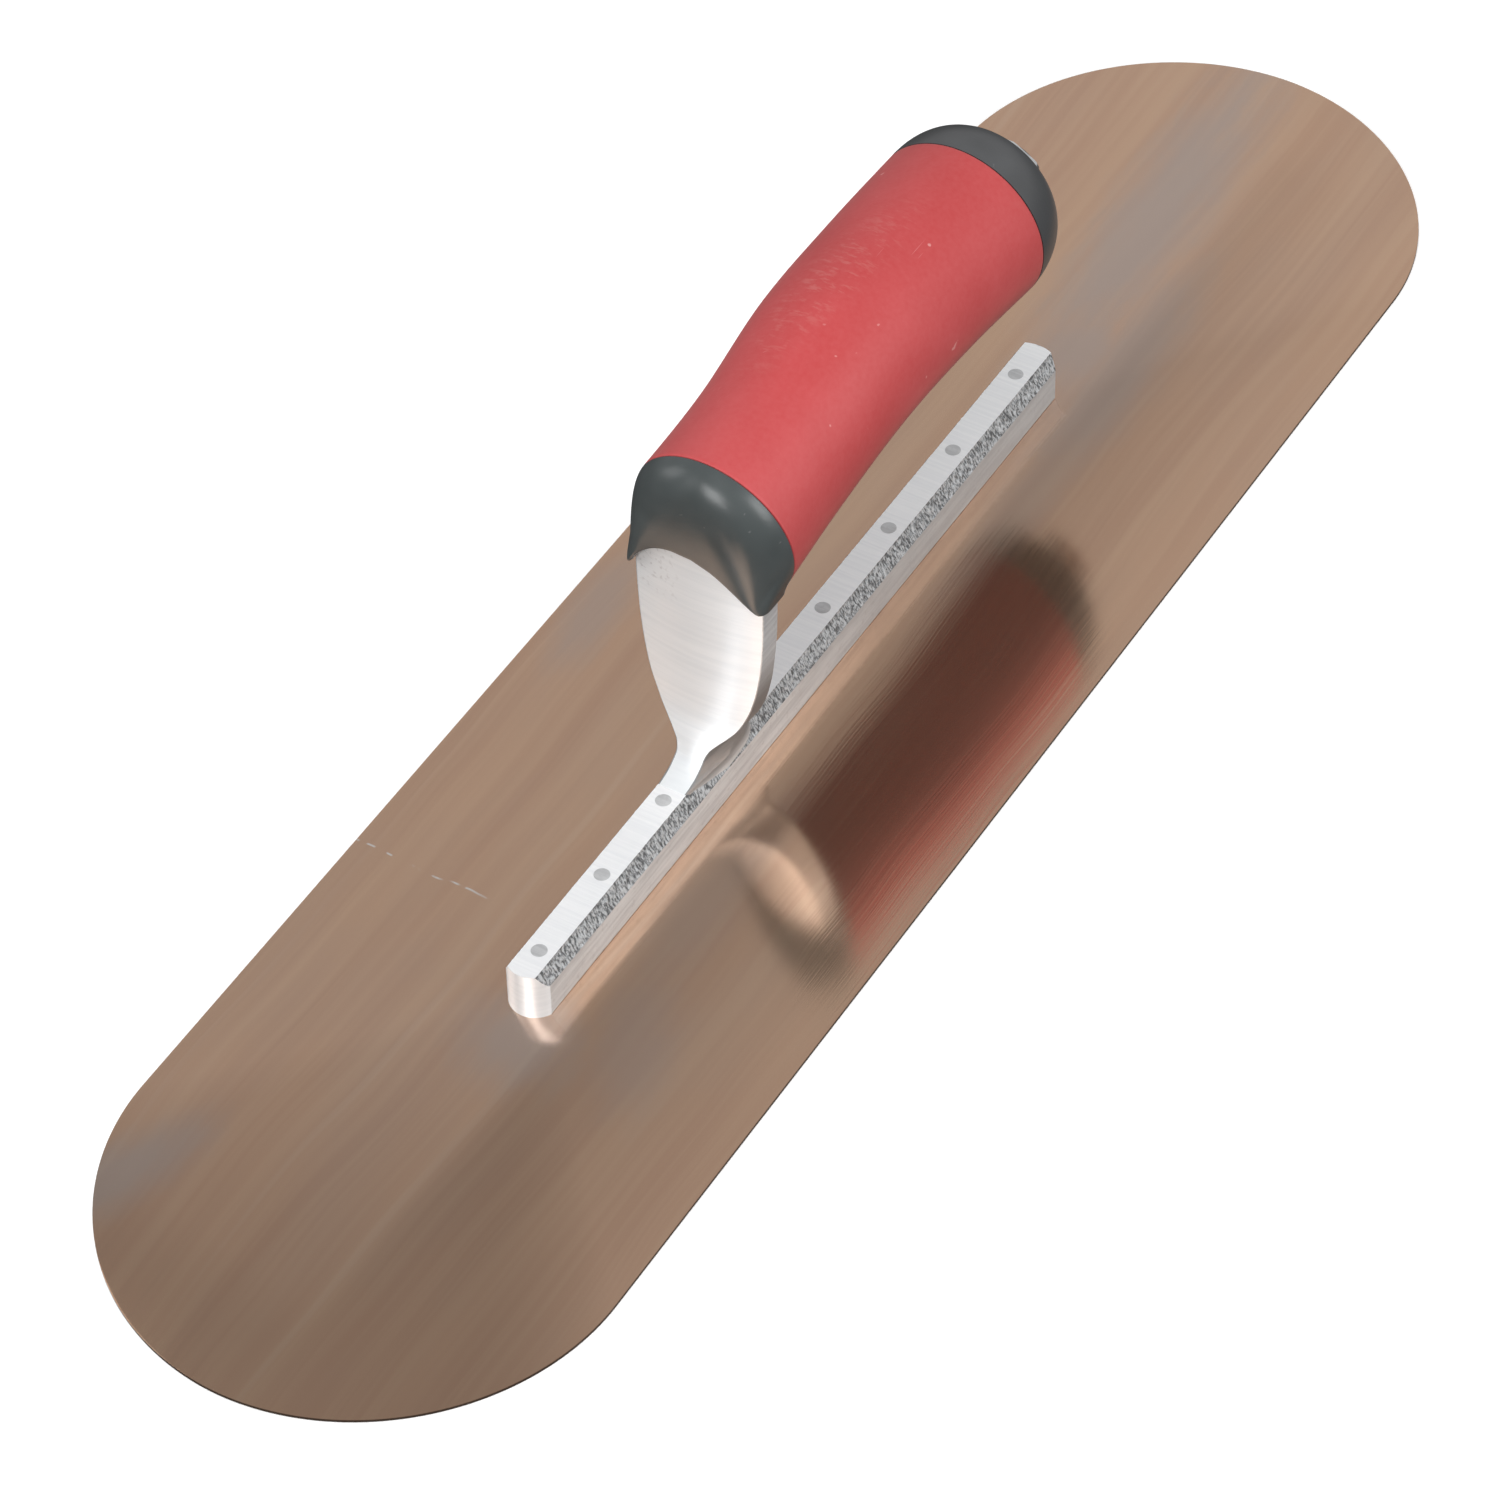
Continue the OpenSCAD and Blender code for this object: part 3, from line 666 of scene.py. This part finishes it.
def hood(q, t):
    s = skin(SEAM_F, q, LEAN_F); e = rim(q); d = np.linalg.norm(e - s)
    m0 = d * (0.55 + 0.55 * max(0, math.sin(q))) * np.array([0.985, math.cos(q) * (0.06 if math.cos(q) > 0 else -0.05), -0.174])
    m1 = d * 0.8 * np.array([-0.18 * max(0, math.sin(q)), -0.12 * math.cos(q), -0.97])
    return (2 * t ** 3 - 3 * t ** 2 + 1) * s + (t ** 3 - 2 * t ** 2 + t) * m0 + (3 * t ** 2 - 2 * t ** 3) * e + (t ** 3 - t ** 2) * m1


def build_ferrule():
    Q = [-math.pi + 2 * math.pi * j / 144 for j in range(144)]
    ctr = np.array([SEAM_F, float(spline(SEAM_F, 4)), float(spline(SEAM_F, 1))])
    rings = []
    seam = np.array([hood(q, 0) for q in Q])
    rings.append(ctr + (seam - ctr) * 0.72)
    rings.append(ctr + (seam - ctr) * 0.985)
    for t in np.concatenate([[0.012], np.linspace(0.03, 0.97, 44)]):
        rings.append(np.array([hood(q, t) for q in Q]))
    last = np.array([hood(q, 1.0) for q in Q])
    for inset, dz in ((0.12, 0.02), (0.35, 0.0), (0.7, 0.08), (1.0, 0.4), (1.15, 1.2), (1.2, 4.0)):
        rings.append(np.array([rim(q, inset) + np.array([0, 0, dz]) for q in Q]))
    return make("ferrule_hood", *loft(rings, True, True), 38, [M_FERRULE])


ferrule = build_ferrule()
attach(ferrule, "root"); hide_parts("front_ferrule")

# ------------------------------------------------------------------ grip
def build_grip():
    N = 160
    q = np.arange(N) * 2 * math.pi / N
    rings = []
    def ring(x, k=1.0, off=0.0):
        lean = LEAN_R + (LEAN_F - LEAN_R) * (x - SEAM_R) / (SEAM_F - SEAM_R)
        r = skin(x, q, lean, 1.0)
        c = np.array([x, float(spline(x, 4)), float(spline(x, 1))])
        d = r - c
        L = np.linalg.norm(d, axis=1, keepdims=True)
        return c + d * (1 - off / L)
    rings.append(ring(SEAM_R, off=6.5))
    rings.append(ring(SEAM_R, off=0.55))
    for a in (0.25, 0.6, 1.0):
        rings.append(ring(SEAM_R + 0.35 * a, off=0.35 * (1 - math.sin(a * math.pi / 2))))
    for x in np.linspace(SEAM_R + 1.0, SEAM_F - 1.0, 110):
        rings.append(ring(x))
    for a in (1.0, 0.6, 0.25):
        rings.append(ring(SEAM_F - 0.35 * a, off=0.35 * (1 - math.sin(a * math.pi / 2))))
    rings.append(ring(SEAM_F, off=0.55))
    rings.append(ring(SEAM_F, off=6.0))
    return make("red_grip", *loft(rings), 50, [M_RED])


grip = build_grip()
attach(grip, "root"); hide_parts("grip_sleeve")

# ------------------------------------------------------------------ rear cap
def build_cap():
    N = 144
    q = np.arange(N) * 2 * math.pi / N
    s = skin(SEAM_R, q, LEAN_R)
    rings = []
    c = np.array([SEAM_R, 0, float(spline(SEAM_R, 1))])
    rings.append(c + (s - c) * 0.6)
    rings.append(c + (s - c) * 0.975)
    for t in np.linspace(0.0, 1.0, 40):
        k = 1 - 0.50 * t ** 2.05
        a = math.pi / 2 * t
        x = s[:, 0] * (1 - t) + t * SEAM_R - CAP_LEN * math.sin(a)
        rings.append(np.stack([x, s[:, 1] * k, (s[:, 2] - DOME_Z) * k + DOME_Z], -1))
    last = rings[-1]
    cc = last.mean(0)
    for f in (0.97, 0.8, 0.3):
        rings.append(cc + (last - cc) * f)
    return make("domed_cap", *loft(rings), 40, [M_CAP])


cap = build_cap()
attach(cap, "root"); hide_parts("rear_cap")

# ------------------------------------------------------------------ bolt head
def build_bolt():
    x0 = SEAM_R - CAP_LEN
    fl = lathe([(0, x0 + 6), (3.9, x0 + 6), (3.9, x0), (8.3, x0), (8.75, x0 - 0.15), (8.9, x0 - 0.5), (8.6, x0 - 1.0), (7.4, x0 - 1.6), (0, x0 - 1.6)], 64, "x", (0, 0, AXIS_Z))
    R = 13 / math.cos(math.radians(30)) / 2
    rows = []
    for x, r in ((x0 - 1.2, 1.0), (x0 - 5.3, 1.0), (x0 - 5.9, 0.955), (x0 - 6.2, 0.86)):
        pts = []
        for j in range(72):
            a = 2 * math.pi * j / 72
            am = (a + math.pi / 6) % (math.pi / 3) - math.pi / 6
            hexr = 6.5 / math.cos(am)
            rr = min(hexr, R * 0.985 * r if r < 1 else R * 0.985)
            pts.append((x, rr * math.cos(a), AXIS_Z + rr * math.sin(a)))
        rows.append(np.array(pts))
    hx = loft(rows)
    return make("hex_flange_bolt", *merge(fl, hx), 25, [M_BOLT])


bolt = build_bolt()
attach(bolt, "root"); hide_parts("handle_bolt")

CAD_MATERIALS = {"blade": M_BLADE, "mounting": M_GROUND, "rivets": M_RIVET, "front_ferrule": M_FERRULE, "handle_core": M_CORE,
                 "grip_sleeve": M_RED, "rear_cap": M_CAP, "handle_bolt": M_BOLT}
for node, mat in CAD_MATERIALS.items():
    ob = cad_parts[node]
    ob.data.materials.clear(); ob.data.materials.append(mat)

# ------------------------------------------------------------------ floor, light, camera
fm, fnt, fb = new_mat("pale_floor"); fg = G(fnt)
fn = fg.noise(fg.vec((6, 6, 6)), 1.0, 2.0)
fnt.links.new(fg.mix(fn, (0.90, 0.90, 0.90), (0.92, 0.92, 0.92)), fb.inputs["Base Color"])
fb.inputs["Roughness"].default_value = 0.9
fb.inputs["Specular IOR Level"].default_value = 0.1
fb.inputs["Emission Color"].default_value = (1, 1, 1, 1); fb.inputs["Emission Strength"].default_value = 0.22
fl = bpy.data.meshes.new("floor")
S = 6.0
fl.from_pydata([(-S, -S, -0.0002), (S, -S, -0.0002), (S, S, -0.0002), (-S, S, -0.0002)], [], [(0, 1, 2, 3)])
floor = bpy.data.objects.new("floor", fl); bpy.context.scene.collection.objects.link(floor)
floor.visible_diffuse = False; floor.visible_glossy = False
fl.materials.append(fm)

world = bpy.data.worlds.new("studio"); bpy.context.scene.world = world; world.use_nodes = True
wn = world.node_tree; wn.nodes.clear()
wo = wn.nodes.new("ShaderNodeOutputWorld"); bg = wn.nodes.new("ShaderNodeBackground")
wt = wn.nodes.new("ShaderNodeTexCoord"); wx = wn.nodes.new("ShaderNodeSeparateXYZ")
wn.links.new(wt.outputs["Generated"], wx.inputs[0])


def wmap(src, f0, f1, t0, t1):
    m = wn.nodes.new("ShaderNodeMapRange"); m.interpolation_type = "SMOOTHSTEP"
    wn.links.new(src, m.inputs["Value"])
    for k, v in zip(("From Min", "From Max", "To Min", "To Max"), (f0, f1, t0, t1)):
        m.inputs[k].default_value = v
    return m.outputs[0]


sky = wmap(wx.outputs[0], -0.60, 0.0, 0.56, 0.24)
low = wmap(wx.outputs[2], -0.04, 0.08, 0.12, 1.0)
wm = wn.nodes.new("ShaderNodeMath"); wm.operation = "MULTIPLY"
wn.links.new(sky, wm.inputs[0]); wn.links.new(low, wm.inputs[1])
bg.inputs[0].default_value = (1, 1, 1, 1)
wn.links.new(wm.outputs[0], bg.inputs[1])
wn.links.new(bg.outputs[0], wo.inputs[0])


def area(name, loc, target, size, energy, size_y=None, color=(1, 1, 1)):
    L = bpy.data.lights.new(name, "AREA"); L.energy = energy; L.color = color
    L.shape = "RECTANGLE"; L.size = size; L.size_y = size_y or size
    o = bpy.data.objects.new(name, L); bpy.context.scene.collection.objects.link(o)
    o.location = loc
    d = Vector(target) - Vector(loc)
    o.rotation_euler = d.to_track_quat("-Z", "Y").to_euler()
    return o


over = area("overhead", (0.55, 0.30, 1.7), (0, 0, 0), 1.1, 11)
over.visible_glossy = False
area("front_key", (1.55, 0.05, 0.85), (0, 0, 0.04), 0.85, 19)
area("left_fill", (0.65, -1.35, 0.75), (0, 0, 0.05), 0.8, 5)
area("side_fill", (-0.25, 1.5, 0.70), (0, 0, 0.04), 0.9, 16)

az, el, roll, dist, tx, ty, foc = 0.5587, 0.80822, -0.0261, 1152.6005, 23.5011, 1.4681, 6010.14
back = Vector((math.cos(az) * math.cos(el), math.sin(az) * math.cos(el), math.sin(el)))
right = Vector((-math.sin(az), math.cos(az), 0)); up = back.cross(right)
r2 = math.cos(roll) * right + math.sin(roll) * up
u2 = -math.sin(roll) * right + math.cos(roll) * up
C = (Vector((tx, ty, 0)) + back * dist) * MM
cam = bpy.data.cameras.new("camera"); co = bpy.data.objects.new("camera", cam)
bpy.context.scene.collection.objects.link(co)
co.matrix_world = Matrix(((r2.x, u2.x, back.x, C.x), (r2.y, u2.y, back.y, C.y), (r2.z, u2.z, back.z, C.z), (0, 0, 0, 1)))
cam.sensor_width = 36; cam.lens = foc / 1500 * 36; cam.clip_start = 0.05; cam.clip_end = 50
bpy.context.scene.camera = co
bpy.context.scene.view_settings.view_transform = "Standard"
